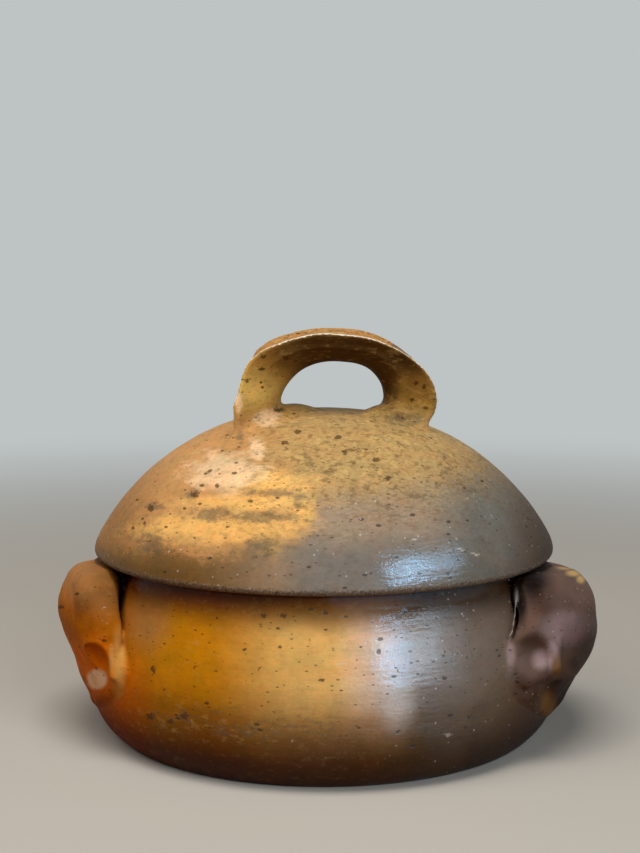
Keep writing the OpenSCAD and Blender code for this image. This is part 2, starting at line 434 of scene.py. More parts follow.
def make_dome():
    line = smooth_dome
    outside = np.arange(len(line)) > dome_edge - 8
    line = thinned(line, outside)
    edge = int(np.argmax(line[:, 0]))

    def shift(angle, r, z, i):
        return np.clip((z - edge_z) / 4, 0, 1) * (i > edge) * cap_shift(angle, r)

    points, faces = turned(line, shift)
    r = np.hypot(points[:, 0], points[:, 1])
    inner = (points[:, 2] < np.interp(r, cap_line[:, 0], cap_line[:, 1]) - 2.2) & (r < lid_r - 3)
    return points, faces, plain(paint_lid(points), inner, BARE, BARE_MATT)


def make_flange():
    line = smooth_line(np.concatenate([flange_line, flange_line[:1]]), FINE_STEP)[:-1]
    out = line - line.mean(0)
    step = np.gradient(line, axis=0)
    if np.sum(out[:, 0] * step[:, 1] - out[:, 1] * step[:, 0]) < 0:
        line = line[::-1]
    points, faces = turned(line, lambda angle, r, z, i: np.zeros(SEGMENTS), loop=True)
    return points, faces, plain(paint_lid(points), np.ones(len(points)), BARE, BARE_MATT)


def closed_mesh(whole, clay, carrier, piece_low):
    """Mesh of clay on its carrier, down to a skin in the carrier, with how it bends and its normals."""
    bend = blurred(whole, BEND_SIZE) - whole
    closed = np.maximum(np.maximum(whole, -(carrier + SKIN)), clay - SPREAD)
    points, faces = solid(closed, piece_low)
    slopes = [value_at(slope, piece_low, points) for slope in np.gradient(whole)]
    normals = np.column_stack(slopes)
    normals /= np.linalg.norm(normals, axis=1)[:, None] + 1e-9
    return points, faces, value_at(bend, piece_low, points), normals


def merge_into(clay, carrier, piece_low, fillet):
    """A mesh of a piece of clay joined to its carrier with a fillet."""
    return closed_mesh(join(clay, carrier + BURIED, fillet), clay, carrier, piece_low)


# Curled lip of the lugs: radius, bearings, heights at the bearings, half width and half height
LIP = (108.6, (58, 116), (73.2, 64.6), (6.2, 3.6))

# Room for the lid above the lugs
LID_ROOM_RADIUS = 106.6
LID_ROOM_Z = 81.6

# How far the lugs are drawn in: bearings over which that starts, and amounts at some heights
TRIM_BEARINGS = (58, 66)
LEFT_TRIM = ((20, 25, 29, 35, 41, 50, 57, 66, 72, 78), (0, 0.7, 2, 3.4, 3.1, 2, 0.3, -0.9, -1.7, -1.3))
RIGHT_TRIM = ((14, 20, 26, 32, 40, 50), (0, 1.5, 2.6, 2.2, 0.8, 0))

# How far the lugs and the handle are smoothed, and how far they are grown after it
LUG_SOFTEN = 1.5
LUG_GROWTH = 0.2
HANDLE_SOFTEN = 0.45
HANDLE_GROWTH = 0.12

# Unevenness of the clay and of the prints in it: amount, period and seed
LEFT_BUMPS = ((0.3, 13, 3), (0.12, 5, 4))
RIGHT_BUMPS = ((0.3, 13, 5), (0.12, 5, 6))
HANDLE_BUMPS = ((0.16, 12, 7), (0.08, 5, 8))
LEFT_WOBBLE = ((0.5, 7, 13),)
RIGHT_WOBBLE = ((0.7, 7, 14), (0.25, 3.5, 15))


def lid_room(spots):
    """Rough distance to the room that the lid needs above the lugs."""
    away = np.hypot(spots[0], spots[1]) - LID_ROOM_RADIUS
    return np.maximum(away, LID_ROOM_Z - spots[2]).astype(np.float32)


def above_lip(spots):
    """Distance below the top of the lip, negative above it."""
    radius, bearings, heights, half_size = LIP
    return np.interp(bearing_of(spots[0], spots[1]), bearings, heights) + half_size[1] - spots[2]


def soft_lip(spots, soften, *lip):
    """Field of a curled lip that is smoothed over a size."""
    return blurred(curled_lip(spots, *lip), soften)


# Print of the thumb in the right lug, and crease behind it with its rim
RIGHT_PRINT = np.array((94.2, -65, 49.5))
RIGHT_FACING = np.array((0.32, -0.945, 0.05))
CREASE = ((88.9, -52.6, 80), (87.2, -58.4, 73), (86.6, -61.9, 66.5), (84.9, -65.6, 57.5))
CREASE_RIM = (
    (87, -57.9, 75.5), (86.2, -59.8, 72), (85.7, -63, 66.5), (84.4, -66, 59.5), (82.6, -67.8, 57),
)

# Forms joined to the clay or carved from it: a way, a kind of form, a fillet, and the form's place and sizes
TOP_FORMS = (
    (join, curled_lip, 3, *LIP),
    (carve, above_lip, 2.5),
    (join, curled_lip, 6, 107, (59, 76, 92), (76.8, 74.6, 69), (7, 4.5)),
    (join, curled_lip, 2, 101, (64, 84, 100), (76.4, 75.2, 68), (5, 4.5)),
)
LEFT_FORMS = (
    (join, lump, 5, (-97, -46, 73), (6.5, 9, 4.8)),
    (join, lump, 6, (-95, -54.5, 72.6), (6, 6, 4.8)),
    (join, lump, 5, (-98.5, -56.5, 69), (6, 6, 7)),
    (join, roll, 8, (-91, -60, 73), (-87.6, -66.2, 56), 2.6),
    (join, lump, 5, (-92.2, -62.7, 48), (6.5, 6.5, 6.5)),
    (carve, dish, 0.9, (-90.2, -68, 41.6), (-0.80, -0.58, -0.08), 8.2, 3),
    (carve, dish, 0.8, (-103.5, -39, 22), (-0.80, -0.42, -0.42), 8.5, 2.6),
    (join, roll, 3.5, (-87, -69.8, 50), (-86.4, -69.8, 38), 1),
    (carve, lid_room, 0.5),
)
RIGHT_FORMS = (
    (join, soft_lip, 9, 2, 115.5, (66, 108), (64, 60), (7, 6)),
    (join, lump, 5, (97, -46, 73), (6.5, 9, 4.8)),
    (join, lump, 6, (93.5, -53.5, 72.6), (6, 6.5, 5)),
    (join, roll, 6, (95, -56.6, 73), (92, -62.6, 58), 2.4),
    (join, lump, 6, (101, -51, 64), (9, 9, 10)),
    (join, pad, 1.6, RIGHT_PRINT - 2.2 * RIGHT_FACING, RIGHT_FACING, 13, 4.2),
    (carve, dish, 2.2, RIGHT_PRINT + 1.4 * RIGHT_FACING, RIGHT_FACING, 9.2, 3.4),
    (carve, roll, 3, (91.5, -64.5, 82), (93, -67.5, 69), 5),
    (carve, dish, 0.8, (100.8, -45.7, 26.6), (0.72, -0.52, -0.45), 8.6, 3.4),
    (carve, lid_room, 0.5),
)
CREASE_FORMS = ((carve, roll_along, 0.4, CREASE, 0.6), (join, roll_along, 0.8, CREASE_RIM, 0.4))
HANDLE_FORMS = (
    (join, lump, 4, (-14, -3, 146.2), (8.5, 11, 3.6)),
    (join, lump, 4, (29, -3, 146.6), (8, 11, 3.4)),
)

# Fillets of the lugs at some heights, and of the handle at some places along X
LEFT_FILLET = ((40, 52, 62), (5.5, 2.2, 1.0))
RIGHT_FILLET = ((40, 56, 66), (2.5, 1.8, 1.0))
HANDLE_FILLET = ((-30, 0, 30), (5.0, 4.0, 4.5))


def drawn_in(values, low, spots, trim):
    """The field of a lug drawn in towards the pot by some amounts at some heights."""
    x, y, z = np.broadcast_arrays(*spots)
    reach = ease(bearing_of(x, y), *TRIM_BEARINGS) * np.interp(z, *trim)
    near = (np.abs(reach) > 0.01) & (values < BAND)
    grow = 1 + reach[near] / np.hypot(x[near], y[near])
    moved = values.copy()
    moved[near] = value_at(values, low, np.column_stack([x[near] * grow, y[near] * grow, z[near]]))
    return moved


def shaped(clay, spots, forms, wobble=0):
    """Field of clay with forms joined to it or carved from it. wobble makes its prints uneven."""
    for way, form, fillet, *shape in forms:
        value = form(spots, *shape)
        if form in (dish, pad):
            value = value + wobble
        clay = way(clay, value, fillet)
    return clay


def roughened(clay, spots, rows):
    """A field with some unevenness added to it."""
    for amount, period, seed in rows:
        clay = clay + amount * uneven(spots, period, seed)
    return clay


def lug_clay(name, trim, bumps):
    """First voxel of a lug, its field, drawn in and with its top curled in, and its spots."""
    low, clay, spots = field_of(name)
    clay = shaped(drawn_in(clay, low, spots, trim), spots, TOP_FORMS)
    return low, roughened(blurred(clay, LUG_SOFTEN) - LUG_GROWTH, spots, bumps), spots


def make_left_lug():
    low, clay, spots = lug_clay("left_lug", LEFT_TRIM, LEFT_BUMPS)
    clay = shaped(clay, spots, LEFT_FORMS, roughened(0, spots, LEFT_WOBBLE))
    fillet = np.interp(spots[2], *LEFT_FILLET)
    points, faces, bend, normals = merge_into(clay, wall_distance(spots), low, fillet)
    return points, faces, paint_lug(points, bend, LEFT_MARKS, LEFT_GLOSS, LEFT_CLOSED)


def make_right_lug():
    low, clay, spots = lug_clay("right_lug", RIGHT_TRIM, RIGHT_BUMPS)
    carrier = wall_distance(spots)
    clay = shaped(clay, spots, RIGHT_FORMS, roughened(0, spots, RIGHT_WOBBLE))
    whole = join(clay, carrier + BURIED, np.interp(spots[2], *RIGHT_FILLET))
    whole = shaped(whole, spots, CREASE_FORMS)
    points, faces, bend, normals = closed_mesh(whole, clay, carrier, low)
    return points, faces, paint_right_lug(points, bend)


# How far the handle's right side leans out at some heights, and its left edges at some angles round its hole
LEAN_RANGE = (22, 40)
LEAN = (
    (136, 140, 142.5, 147, 151.7, 156.4, 160, 164, 168, 172, 178),
    (-4.2, -3.4, -2.3, 0.5, 2.1, 3.2, 3.6, 3.4, 2.8, 1.8, 0.5),
)
FLARE_RANGE = (3, 16)
FLARE_RISE = (0, 6)
FLARE = (
    (0, 20, 60, 80, 95, 108, 123, 135, 145, 153, 161, 170, 180),
    (0, 0.5, 1.0, 1.3, 1.9, 2.4, 3.4, 5.2, 5.8, 4.6, 3.0, 1.5, 1.2),
)
EDGE_RANGE = (9, 18)
EDGE_RISE = (2, 12)
EDGE_THINNED = 0.7
INNER_RIDGE = (
    (-16.9, -22.0, 167.0), (-12.8, -22.1, 171.1), (-7.0, -21.3, 174.2), (0.4, -18.9, 175.4),
    (10.7, -17.5, 175.8), (20.9, -15.5, 174.4), (28.1, -13.5, 171.1), (32.1, -9.6, 164.9),
    (33.4, -5.5, 156.8), (32.9, -2.9, 151.0),
)
RIDGE_FORMS = ((join, roll_along, 3, INNER_RIDGE, 0.9),)


def leaning(values, low, spots):
    """The handle's field with its lean, its flared left edges and its thinned edges."""
    x, y, z = [s.ravel() for s in np.broadcast_arrays(*spots)]
    rise = z - crown_z
    angle = np.arctan2(rise, x - HOLE_MIDDLE)
    flare = np.interp(np.degrees(angle), *FLARE) * ease(np.abs(y), *FLARE_RANGE) * ease(rise, *FLARE_RISE)
    moved_x = ease(x, *LEAN_RANGE) * np.interp(z, *LEAN) + flare * np.cos(angle)
    moved = value_at(values, low, np.column_stack([x - moved_x, y, z - flare * np.sin(angle)]))
    thinned_edge = EDGE_THINNED * ease(np.abs(y), *EDGE_RANGE) * ease(rise, *EDGE_RISE)
    return (moved + thinned_edge).reshape(values.shape).astype(np.float32)


def make_handle():
    low, clay, spots = field_of("lid_handle")
    clay = leaning(shaped(clay, spots, RIDGE_FORMS), low, spots)
    clay = roughened(blurred(clay, HANDLE_SOFTEN) - HANDLE_GROWTH, spots, HANDLE_BUMPS)
    clay = shaped(clay, spots, HANDLE_FORMS)
    fillet = np.interp(spots[0], *HANDLE_FILLET)
    points, faces, bend, normals = merge_into(clay, cap_distance(spots), low, fillet)
    return points, faces, paint_handle(points, bend, normals)


# Paint

def srgb(r, g, b):
    """A colour as a picture gives it, 0 to 255, in linear light."""
    part = np.array([r, g, b]) / 255
    return np.where(part <= 0.04045, part / 12.92, ((part + 0.055) / 1.055) ** 2.4)


# Colours of the lid
PEACH = srgb(192, 142, 88)
FLASH = srgb(242, 186, 104)
CREAM = srgb(236, 198, 154)
MUSTARD = srgb(180, 146, 92)
OCHRE = srgb(172, 130, 54)
# painted light
SUNLIT = srgb(236, 194, 106)
RUSSET = srgb(180, 128, 80)
STRAW = srgb(212, 178, 112)
UMBER = srgb(108, 78, 38)
BARK = srgb(88, 68, 40)
SMOKE = srgb(152, 130, 106)
STEEL = srgb(118, 110, 102)
SLATE = srgb(104, 100, 92)
DUSK = srgb(84, 70, 58)
SOIL = srgb(94, 84, 66)

# Colours of the bowl and its lugs
RUST = srgb(172, 94, 2)
# orange of the clay, painted brighter where the wall and the left print get little light: painted light
ORANGE_PAINTED_LIGHT = srgb(232, 118, 2)
AMBER = srgb(196, 126, 4)
HONEY = srgb(228, 180, 102)
# pale pink of the clay, made brighter to carry the fringe of the window's reflection: a painted sheen as well
ROSE_SHEEN = srgb(238, 200, 166)
TAWNY = srgb(164, 116, 70)
BLUSH = srgb(252, 208, 168)
COPPER = srgb(120, 76, 32)
# pale clay smeared onto the wall, with a painted sheen of the fillet
SMEAR_AND_SHEEN = srgb(218, 166, 86)
COCOA = srgb(122, 106, 92)
PLUM = srgb(98, 74, 64)
# painted sheen
LILAC_SHEEN = srgb(168, 144, 146)
# painted shade
SHADE_BROWN = srgb(66, 40, 16)
# painted shade in creases
CREASE_SHADE = srgb(38, 22, 10)
# painted shadow
SHADOW_BLACK = srgb(14, 7, 7)
TAN = srgb(116, 80, 26)
# painted highlight
PAINTED_HIGHLIGHT = srgb(211, 203, 199)

# Painted shade under the lid, low on the wall, at the foot (where the clay is darker as well), behind the
# lugs and towards the lid's sides.
# LUG_SHADE darkens the outer side of the right lug, and DULL_SHADE makes the grey low on the wall duller and
# less blue
LID_SHADE = np.array((0.24, 0.15, 0.05))
LOW_SHADE = np.array((0.38, 0.32, 0.24))
FOOT_SHADE = np.array((0.28, 0.18, 0.06))
GAP_SHADE = np.array((0.05, 0.03, 0.02))
RIM_SHADE = np.array((0.6, 0.56, 0.5))
LUG_SHADE = np.array((0.25, 0.17, 0.13))
DULL_SHADE = np.array((1.0, 0.84, 0.48))

# Colours of marks on the glaze, and of surfaces that the photograph doesn't show
IRON = srgb(54, 44, 38)
SEPIA = srgb(78, 52, 24)
# white of the glaze's crystals, and of painted glints
SALT_GLINT = srgb(214, 208, 198)
# pale edge with wear and a painted highlight
WORN_SHEEN = srgb(238, 230, 220)
SAND_DARK = srgb(72, 56, 44)
SAND_PALE = srgb(150, 132, 116)
LINER = srgb(128, 98, 66)
BARE = srgb(150, 112, 80)
BARE_MATT = 0.6

# Upper edge of the grey zone of the lid, and how gradual it is, in pixels of the photograph
GREY_EDGE = (
    (90, 140, 160, 200, 240, 256, 275, 287, 311, 318, 335, 400, 470, 560),
    (546, 553, 546, 557, 553, 541, 557, 540, 530, 500, 496, 492, 478, 462),
)
GREY_SOFT = ((90, 310, 420, 560), (40, 46, 90, 130))

# Spots of the lid and its handle: x, y, half width and half height in pixels of the photograph
FLASH_SPOTS = ((270, 483, 36, 11), (245, 503, 60, 8), (226, 528, 82, 13), (300, 516, 14, 13))
CREAM_SPOTS = ((224, 472, 36, 19), (257, 450, 8, 11), (268, 418, 13, 8), (239, 402, 4, 9))
SMUDGE_SPOTS = (
    (275, 493, 28, 3.5), (298, 501, 8, 8), (215, 514, 24, 7), (265, 517, 44, 6), (150, 543, 14, 12),
    (193, 495, 6, 6), (155, 507, 9, 4), (224, 515, 7, 7), (262, 546, 18, 10), (240, 437, 4, 10),
    (278, 410, 6, 3), (402, 419, 22, 8),
)
LID_IRON = (
    (338, 437, 4, 2), (376, 460, 3, 3), (388, 478, 3, 2.5), (345, 452, 3, 2), (298, 432, 3.5, 2),
    (285, 443, 4, 2), (210, 471, 3, 2), (217, 486, 2, 2), (195, 494, 4, 3), (250, 501, 2.5, 1.5),
    (137, 500, 2, 1), (145, 523, 2, 1.5), (133, 528, 2, 1.5), (227, 527, 2, 1.2), (377, 572, 2.5, 1.2),
    (264, 357, 3, 2), (262, 369, 3, 1.5), (247, 381, 2.5, 2), (286, 358, 3, 2), (151, 508, 4, 3),
    (416, 383, 2.5, 2), (424, 387, 2, 2), (426, 408, 2.5, 2), (412, 400, 2, 2), (278, 410, 4, 2),
)
# white specks and a scratch on the lid, some of them painted glints
LID_SALT_GLINTS = (
    (415, 539, 4, 1), (458, 549, 3, 0.8), (465, 551, 4, 0.8), (472, 553, 3, 0.8), (477, 555, 2, 1.4),
    (169, 551, 1.5, 1), (181, 549, 1.5, 1), (316, 550, 2, 1.2),
)

# Spots of the bowl and its lugs
# clay smeared beside the left lug, painted lighter as a sheen on the fillet too
SMEAR_SHEEN_SPOTS = ((119, 664, 6, 30), (112, 660, 3, 14))
# painted light in the dish of the left lug's print
LIT_PRINT_SPOTS = ((94, 662, 17, 24),)
BLUSH_SPOTS = ((97, 679, 10, 10),)
MAUVE_SPOTS = ((148, 616, 20, 30),)
# painted highlight where the window's reflection runs out low on the wall
HIGHLIGHT_TAIL_SPOTS = ((396, 700, 15, 21),)
BOWL_SMUDGE = ((190, 722, 46, 12), (250, 731, 60, 10), (300, 726, 34, 10), (186, 712, 8, 8))
BOWL_IRON = (
    (153, 670, 2.5, 4), (171, 722, 3, 2.5), (186, 605, 2, 1.5), (226, 609, 2, 1.5), (264, 616, 3, 2.5),
    (284, 616, 3, 2.5), (280, 647, 2, 2), (309, 639, 2, 2), (378, 651, 2.5, 3), (322, 680, 3, 2),
    (61, 607, 3, 2), (77, 594, 2.5, 1.5), (404, 612, 2.5, 2.5), (516, 694, 2, 1.2), (517, 682, 2, 1.5),
    (217, 618, 2, 1.5), (244, 650, 2, 1.5), (259, 669, 1.5, 1.5), (196, 667, 2, 1.5), (399, 671, 1.5, 1),
    (446, 652, 1.5, 1.5), (469, 717, 2, 2), (398, 732, 2, 2), (184, 716, 4, 4), (150, 717, 4, 3),
)
# white specks on the bowl, in part painted glints
BOWL_SALT_GLINTS = ((342, 664, 4, 1), (292, 741, 2, 1), (448, 735, 4, 1.6), (104, 607, 2, 0.8), (463, 614, 2, 1.2))
# painted shadow in the hollow of the right lug under the lid
RECESS_SHADOW_SPOTS = ((533, 580, 17, 19), (522, 600, 5, 22))
# painted highlight along the edge of the crease at the right lug
CREASE_HIGHLIGHT_SPOTS = ((516, 598, 2, 9), (514, 616, 2, 12), (510, 632, 4, 3))
# painted shade on the top front of the left lug, under the lid's edge
UNDER_LID_SHADE_SPOTS = ((106, 586, 16, 28),)
YELLOW_SPOTS = ((566, 567, 8, 2.5), (574, 573, 7, 3), (581, 579, 4, 4))
OCHRE_SPOTS = ((557, 667, 5, 11), (548, 704, 8, 13))
# painted sheen on the right lug, and painted highlights on the rims and in the dish of its print
LILAC_SHEEN_SPOTS = ((568, 628, 20, 14), (552, 655, 6, 14), (541, 659, 8, 9), (511, 655, 4, 12))
# painted shadows under the overhanging rims of the right lug's prints
SHADOW_CRESCENT_SPOTS = ((552, 682, 11, 4), (536, 700, 3, 14), (530, 643, 12, 6))
OUTER_SPOTS = ((590, 650, 16, 28), (566, 690, 16, 14), (577, 664, 8, 9))

# How far the gap behind the right lug lies further round than the one behind the left lug, in degrees
GAP_TURN = 2.2


def ease(value, low, high):
    """0 to 1 with soft ends as a value goes from low to high."""
    u = np.clip((value - low) / (high - low), 0, 1)
    return u * u * (3 - 2 * u)


def blend(a, b, share):
    """Colours a share of the way from a to b."""
    return a + (b - a) * np.asarray(share)[:, None]


def darkened(colours, shade, share):
    """Colours that a shade has darkened by a share. Most of the shades are painted shade."""
    return colours * (1 + (shade - 1) * share[:, None])


def places_of(points):
    """Where points are: x and y in the photograph, and z, depth, bearing and out from the wall on the pot.

    The far side takes the paint of the near side.
    """
    x, y, z = points.T
    near = np.column_stack([x, -np.abs(y), z]) - EYE
    scale = FOCAL_PX / (near @ LOOK)
    bearing = bearing_of(x, y)
    return {
        "x": PHOTO_SIZE[0] / 2 + scale * (near @ RIGHT), "y": PHOTO_SIZE[1] / 2 - scale * (near @ LIFT),
        "z": z, "depth": y, "bearing": bearing, "turned": bearing - GAP_TURN * (x > 0),
        "out": wall_distance(points.T),
    }


def faded(at, fades, share=1):
    """A share that fades in over some places."""
    for axis, start, end in fades:
        share = share * ease(at[axis], start, end)
    return share


def coated(colours, coats, at):
    """Colours with coats over them. Each coat is a way to go on, a tint, an amount and where it fades in."""
    for way, tint, amount, *fades in coats:
        colours = way(colours, tint, faded(at, fades, amount))
    return colours


def spots_at(at, spots):
    """0.5 on the edges of some ellipses of the photograph, more inside them and less outside."""
    best = np.zeros(len(at["x"]))
    for x, y, half_x, half_y in spots:
        away = np.hypot((at["x"] - x) / half_x, (at["y"] - y) / half_y)
        best = np.maximum(best, np.clip(1 - 0.5 * away, 0, 1))
    return best


def rubbed(at, spots, soft=0.3):
    """Share of a paint that is rubbed on some ellipses with soft edges."""
    return ease(spots_at(at, spots), 0.5 - soft, 0.5 + soft)


# Marks fade out towards the far side
NEAR = (("depth", 14, -14),)

# Coats of the lid, with painted shade towards its left and right sides, and where it is raised, flecked,
# sandy, shiny and matt
RAISED = (("z", crown_z - 5, crown_z + 6), ("y", 440, 415))
LID_WARM = (
    (blend, PEACH, 1, ("x", 320, 215)),
    # painted shade towards the left side
    (darkened, RIM_SHADE, 1, ("x", 175, 105)),
    (blend, DUSK, 0.8, ("x", 420, 560)),
    (blend, OCHRE, 0.8, *RAISED),
)
LID_GREY = (
    (blend, STEEL, 1, ("y", 520, 562), ("x", 262, 318)),
    (blend, UMBER, 1, ("x", 315, 190)),
    (blend, SLATE, 1, ("x", 410, 480)),
    (blend, DUSK, 1, ("x", 488, 538)),
    # painted shade towards the right side
    (darkened, RIM_SHADE, 1, ("x", 522, 552)),
)
LID_FLECKS = (("x", 215, 300), ("x", 580, 440), ("y", 560, 470))
LID_EDGE = (("z", edge_z + 1.5, edge_z - 0.5),)
LID_EDGE_WIDTH = 6
LID_SHINE = (("y", 530, 552), ("x", 300, 370))
LID_MATT = (("x", 480, 530),)

# Coats of the bowl, where it is shiny, and where painted shade darkens it
BOWL_WARM = (
    (blend, HONEY, 1, ("x", 205, 305)),
    # pink with a painted sheen beside the window's reflection
    (blend, ROSE_SHEEN, 1, ("x", 328, 374), ("z", 10, 45)),
    (blend, RUST, 1, ("x", 170, 105)),
    # painted light low on the left
    (blend, ORANGE_PAINTED_LIGHT, 0.9, ("x", 165, 115), ("z", 52, 38)),
    (blend, TAWNY, 0.8, ("x", 132, 104), ("z", 60, 74)),
)
BOWL_GREY = (
    (blend, PLUM, 1, ("x", 490, 535)),
    (darkened, DULL_SHADE, 1, ("z", 46, 22)),
)
BOWL_SMOKE = 392
BOWL_SMOKE_WIDTH = 84
# Painted shade on the bowl: deeper in the middle low down, low on the wall but less where LOW_LIT says, at
# the foot but less where FOOT_LIT says, under the lid, in the gap behind the lugs and, on the lugs, where
# SHUT says
OLIVE = (("x", 255, 305), ("x", 386, 356))
LOW = (("z", 47, 23),)
LOW_LIT = ((0.3, ("x", 210, 130)), (0.2, ("x", 380, 404)), (0.1, ("x", 410, 450)))
FOOT_TOP = 30
FOOT_TOP_OLIVE = 4
FOOT_BASE = 9
FOOT_LIT = (("x", 396, 440), ("x", 476, 452))
UNDER_LID = (("z", 63, 78),)
GAP = (("turned", 53, 56), ("bearing", 92, 72), ("z", 50, 60), ("out", 2, 0.3), ("out", -2, -0.6))
SHUT = (("z", 60, 68), ("bearing", 66, 60))
BOWL_SHINE = (("x", 320, 380),)
BOWL_MATT = (("x", 412, 448),)
LEFT_MATT = (("x", 110, 200),)
LOW_MATT = (("y", 668, 708),)
RIM_SHINE = (("z", 70, 76),)
SEAT_MATT = (("z", 74, 78), ("x", 320, 345), ("x", 500, 470))

# Coats of the handle: painted light on the left of its inside, painted shade on the rest of its inside, and
# where its edges are pale. facing is how far it faces out from its hole
ABOVE = ("z", crown_z + 2, crown_z + 10)
INSIDE = (("facing", 0.35, -0.1), ABOVE)
HANDLE_WARM = (
    (blend, RUSSET, 0.7, ("facing", 0.4, 0.8), ABOVE),
    # painted light on the left of the inside
    (blend, SUNLIT, 0.85, *INSIDE, ("x", 290, 262), ("y", 345, 390)),
    # painted shade on the inside
    (blend, UMBER, 0.3, *INSIDE, ("x", 394, 412)),
    (blend, BARK, 0.7, *INSIDE, ("x", 250, 285), ("y", 392, 354)),
)
# where painted shade darkens the inside, except where HANDLE_OPEN is
HANDLE_DARK = (*INSIDE, ("x", 278, 312))
HANDLE_OPEN = (("x", 388, 406), ("y", 362, 382))
HANDLE_CORNER = ((blend, PLUM, 0.7, ("bend", 0.1, 0.3), ("facing", 0.3, 0.6), ("x", 378, 396)),)
# where the handle's edges are pale with wear and a painted highlight
WORN_SHEEN_EDGE = (("facing", 0.35, 0.7), ("depth", 16, -4))
WORN_SHEEN_TOP = (("x", 262, 290), ("x", 392, 376))

# Gloss of the lugs, and how far from the wall the painted shade of the gap behind them ends and starts
LEFT_GLOSS = 0.0
RIGHT_GLOSS = 0.12
LEFT_CLOSED = (5.0, 1.5)
RIGHT_CLOSED = (2.2, 0.7)

# Marks of the lugs: colour, spots, amount and how soft their edges are.
# On the left lug: painted shade under the lid's edge, painted light in the print, and a smear of clay with a
# painted sheen.
# On the right lug: a painted sheen, painted shadows in the hollow and under the prints' rims, and a painted
# highlight along the crease
LEFT_MARKS = (
    (COPPER, UNDER_LID_SHADE_SPOTS, 0.75, 0.45), (ORANGE_PAINTED_LIGHT, LIT_PRINT_SPOTS, 0.8, 0.4), (SMEAR_AND_SHEEN, SMEAR_SHEEN_SPOTS, 0.8, 0.35),
    (BLUSH, BLUSH_SPOTS, 0.95, 0.12),
)
RIGHT_MARKS = (
    (LILAC_SHEEN, LILAC_SHEEN_SPOTS, 0.8, 0.35), (SHADOW_BLACK, RECESS_SHADOW_SPOTS, 0.97, 0.35), (TAN, OCHRE_SPOTS, 0.8, 0.25),
    (STRAW, YELLOW_SPOTS, 0.7, 0.3), (SHADE_BROWN, SHADOW_CRESCENT_SPOTS, 0.7, 0.3), (PAINTED_HIGHLIGHT, CREASE_HIGHLIGHT_SPOTS, 0.4, 0.3),
)


def paint_lid(points):
    """Paint layers of the lid and its handle, with painted shade towards the lid's sides."""
    at = places_of(points)
    near = faded(at, NEAR)
    past = at["y"] - np.interp(at["x"], *GREY_EDGE)
    smoke = np.clip(0.5 + past / np.interp(at["x"], *GREY_SOFT), 0, 1)
    edge = faded(at, LID_EDGE) * (np.hypot(points[:, 0], points[:, 1]) > lid_r - LID_EDGE_WIDTH)
    gloss = 0.3 + 0.3 * ease(smoke, 0.4, 0.9) + faded(at, LID_SHINE, 0.4)
    return {
        "warm": coated(MUSTARD, LID_WARM, at), "grey": coated(SMOKE, LID_GREY, at),
        "smoke": smoke, "gloss": gloss * (1 - faded(at, LID_MATT, 0.9)),
        "fleck": np.maximum(0.35 + faded(at, LID_FLECKS, 0.65), faded(at, RAISED, 0.5)),
        "flash": near * spots_at(at, FLASH_SPOTS), "cream": near * spots_at(at, CREAM_SPOTS),
        "smudge": 0.85 * near * spots_at(at, SMUDGE_SPOTS), "iron": near * spots_at(at, LID_IRON),
        "salt": near * spots_at(at, LID_SALT_GLINTS), "edge": edge, "ridge": np.zeros(len(points)),
    }


def paint_bowl(points):
    """Paint layers of the bowl and its lugs, with painted shade, painted light, painted sheen and a painted
    highlight in them.
    """
    at = places_of(points)
    near = faded(at, NEAR)
    nothing = np.zeros(len(points))
    warm = coated(AMBER, BOWL_WARM, at)
    warm = blend(warm, TAWNY, 0.6 * near * rubbed(at, MAUVE_SPOTS))
    grey = coated(COCOA, BOWL_GREY, at)
    olive = faded(at, OLIVE)
    low = 1 + 0.12 * olive - sum(faded(at, fades, share) for share, *fades in LOW_LIT)
    foot = ease(at["z"], FOOT_TOP + FOOT_TOP_OLIVE * olive, FOOT_BASE)
    # painted shade low on the wall, at the foot, under the lid and in the gap behind the lugs
    shades = (
        (LOW_SHADE, faded(at, LOW, low)),
        (FOOT_SHADE, foot * (1 - faded(at, FOOT_LIT, 0.4))),
        (LID_SHADE, faded(at, UNDER_LID) * (np.hypot(points[:, 0], points[:, 1]) < lid_r)),
        (GAP_SHADE, faded(at, GAP)),
    )
    for shade, share in shades:
        warm = darkened(warm, shade, share)
        grey = darkened(grey, shade, share)
    smudge = near * spots_at(at, BOWL_SMUDGE)
    gloss = (0.6 + faded(at, BOWL_SHINE, 0.4) - faded(at, BOWL_MATT, 0.4)) * faded(at, LEFT_MATT)
    gloss = np.maximum(gloss * (1 - faded(at, LOW_MATT, 0.4)), faded(at, RIM_SHINE, 0.9))
    smoke = np.clip(0.5 + (at["x"] - BOWL_SMOKE) / BOWL_SMOKE_WIDTH, 0, 1)
    body = blend(warm, grey, ease(smoke, 0, 1))
    # painted highlight below the window's reflection
    body = blend(body, PAINTED_HIGHLIGHT, 0.75 * near * rubbed(at, HIGHLIGHT_TAIL_SPOTS, 0.45))
    return {
        "warm": body, "grey": body, "smoke": smoke, "gloss": gloss * (1 - faded(at, SEAT_MATT)),
        "fleck": 0.15 + 0.3 * smudge, "flash": nothing, "cream": nothing, "smudge": 0.5 * smudge,
        "iron": near * spots_at(at, BOWL_IRON), "salt": near * spots_at(at, BOWL_SALT_GLINTS),
        "edge": nothing, "ridge": nothing,
    }


def paint_lug(points, bend, marks, gloss, closed):
    """Paint layers of a lug with some marks, some of them painted light and shade, and with painted shade
    close to the wall.
    """
    layers = paint_bowl(points)
    at = places_of(points)
    near = faded(at, NEAR)
    body = layers["warm"]
    for tint, spots, amount, soft in marks:
        body = blend(body, tint, amount * near * rubbed(at, spots, soft))
    # painted shade on the lug where it comes close to the wall
    body = darkened(body, GAP_SHADE, faded(at, (("out", *closed), *SHUT)))
    layers.update(warm=body, grey=body, gloss=np.full(len(points), gloss), ridge=np.minimum(0.6 * bend, 0.1))
    return layers


